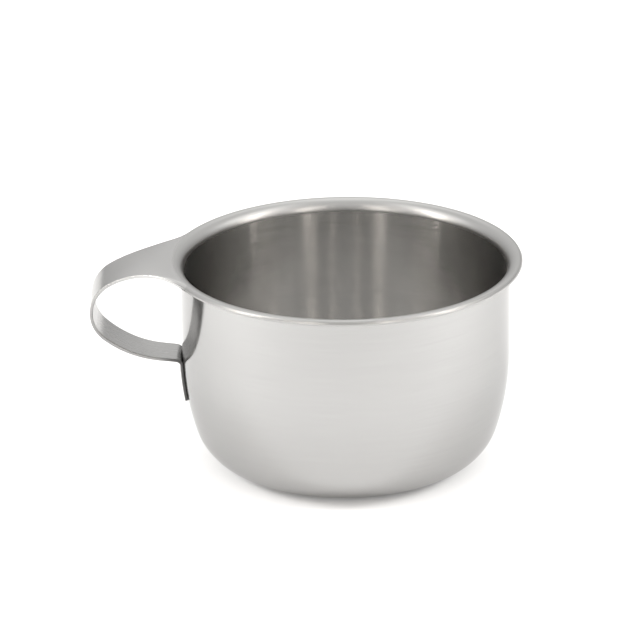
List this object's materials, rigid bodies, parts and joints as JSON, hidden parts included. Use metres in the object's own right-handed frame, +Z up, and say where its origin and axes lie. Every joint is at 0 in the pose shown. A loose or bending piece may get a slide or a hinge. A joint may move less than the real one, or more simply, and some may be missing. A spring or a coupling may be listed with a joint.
{
  "type": "shaving mug",
  "caption": "Steel lather mug: a deep-drawn round bowl with a flared lip and a flat strap handle welded to the lip and the wall.",
  "frame": {"origin": "centre of the flat base, on the plane that the mug rests on", "axes": "+Z up along the bowl's axis, handle pointing along -X, +Y across the handle"},
  "size_m": [0.122, 0.1, 0.0605],
  "materials": {
    "bowl_steel": "satin outside, polished inside and on the lip",
    "handle_steel": "satin",
    "weld_steel": "ground flush and polished over"
  },
  "bodies": {
    "root": {"bowl": "bowl_steel", "handle": "handle_steel", "rim_weld": "weld_steel", "tab_weld_upper": "weld_steel", "tab_weld_lower": "weld_steel"}
  },
  "joints": []
}
